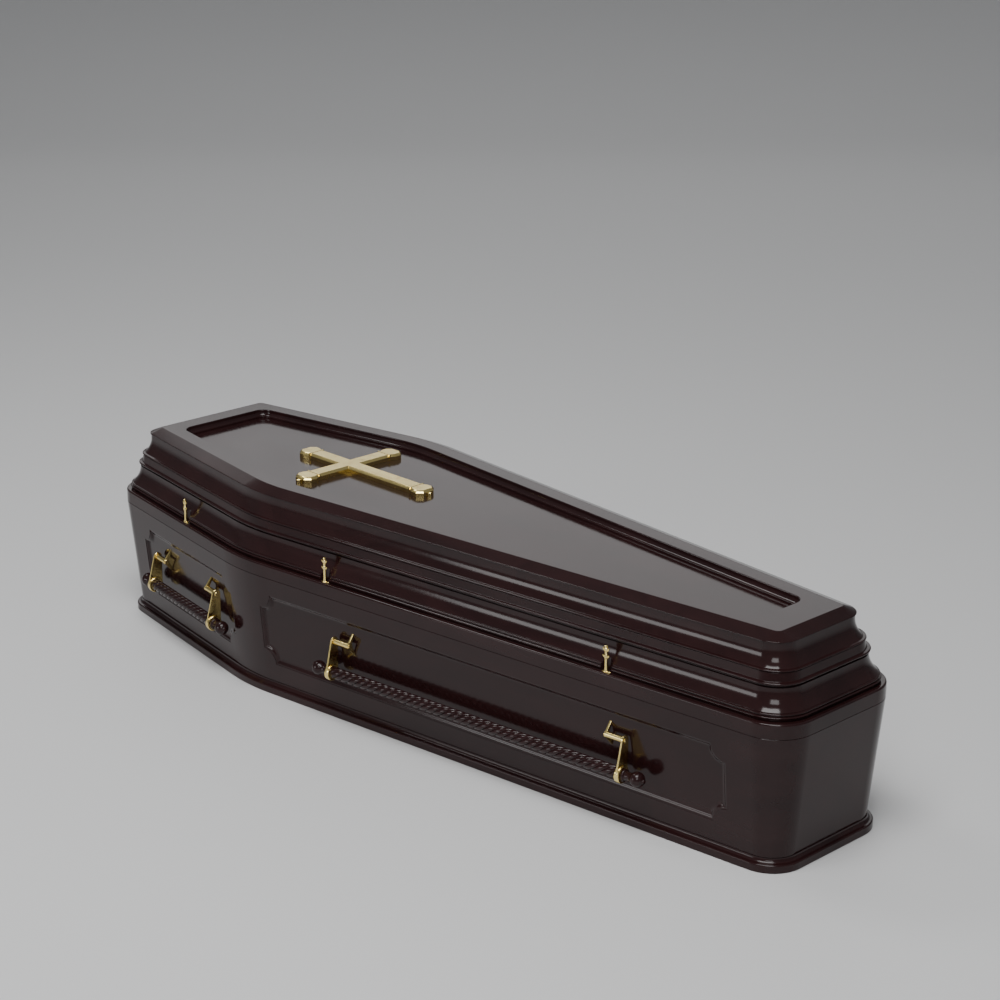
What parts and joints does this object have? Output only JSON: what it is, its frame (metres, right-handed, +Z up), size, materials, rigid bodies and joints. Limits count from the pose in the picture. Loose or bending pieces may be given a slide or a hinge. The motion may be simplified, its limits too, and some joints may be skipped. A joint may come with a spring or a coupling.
{
  "type": "wooden coffin",
  "caption": "Six-sided lacquered wooden coffin with lift-off moulded lid, brass cross, padded lining, thumb screws and rope-twist drop handles.",
  "frame": {"origin": "centre of the footprint, on the surface the coffin stands on", "axes": "+Z up, +X towards the foot end, -X towards the head end, +Y to the left of whoever lies inside"},
  "size_m": [2, 0.6636, 0.4521],
  "materials": {
    "dark_wood": "very dark brown high-gloss lacquer",
    "lining_cloth": "pale pinkish-beige satin-like woven cloth over padding",
    "brass": "polished pale gold lacquered brass"
  },
  "bodies": {
    "coffin": {"base_board": "dark_wood", "coffin_walls": "dark_wood", "lid_brim": "dark_wood", "lid_lower_moulding": "dark_wood", "lid_upper_moulding": "dark_wood", "lid_top": "dark_wood", "floor_pad": "lining_cloth", "lining_head": "lining_cloth", "lining_foot": "lining_cloth", "lining_shoulder_left": "lining_cloth", "lining_shoulder_right": "lining_cloth", "lining_side_left": "lining_cloth", "lining_side_right": "lining_cloth", "button_head": "lining_cloth", "button_foot": "lining_cloth", "button_shoulder_left": "lining_cloth", "button_shoulder_right": "lining_cloth", "button_side_left_1": "lining_cloth", "button_side_left_2": "lining_cloth", "button_side_left_3": "lining_cloth", "button_side_right_1": "lining_cloth", "button_side_right_2": "lining_cloth", "button_side_right_3": "lining_cloth", "cross": "brass", "lid_screw_left_1": "brass", "lid_screw_left_2": "brass", "lid_screw_left_3": "brass", "lid_screw_right_1": "brass", "lid_screw_right_2": "brass", "lid_screw_right_3": "brass", "handle_lug_side_right_1": "brass", "handle_lug_side_right_2": "brass", "handle_lug_side_left_1": "brass", "handle_lug_side_left_2": "brass", "handle_lug_shoulder_right_1": "brass", "handle_lug_shoulder_right_2": "brass", "handle_lug_shoulder_left_1": "brass", "handle_lug_shoulder_left_2": "brass"},
    "handle_side_right": {"handle_bar_side_right": "dark_wood", "handle_arm_side_right_1": "brass", "handle_arm_side_right_2": "brass"},
    "handle_side_left": {"handle_bar_side_left": "dark_wood", "handle_arm_side_left_1": "brass", "handle_arm_side_left_2": "brass"},
    "handle_shoulder_right": {"handle_bar_shoulder_right": "dark_wood", "handle_arm_shoulder_right_1": "brass", "handle_arm_shoulder_right_2": "brass"},
    "handle_shoulder_left": {"handle_bar_shoulder_left": "dark_wood", "handle_arm_shoulder_left_1": "brass", "handle_arm_shoulder_left_2": "brass"}
  },
  "joints": [
    {"name": "handle_side_right_swing", "type": "hinge", "parent": "coffin", "child": "handle_side_right", "pos_m": [0.26198, -0.24998, 0.1828], "axis": [-0.9945, -0.1044, 0], "range_deg": [0, 80]},
    {"name": "handle_side_left_swing", "type": "hinge", "parent": "coffin", "child": "handle_side_left", "pos_m": [0.26198, 0.24998, 0.1828], "axis": [0.9945, -0.1044, 0], "range_deg": [0, 80]},
    {"name": "handle_shoulder_right_swing", "type": "hinge", "parent": "coffin", "child": "handle_shoulder_right", "pos_m": [-0.66129, -0.2767, 0.1828], "axis": [-0.986, 0.1665, 0], "range_deg": [0, 80]},
    {"name": "handle_shoulder_left_swing", "type": "hinge", "parent": "coffin", "child": "handle_shoulder_left", "pos_m": [-0.66129, 0.2767, 0.1828], "axis": [0.986, 0.1665, 0], "range_deg": [0, 80]}
  ]
}
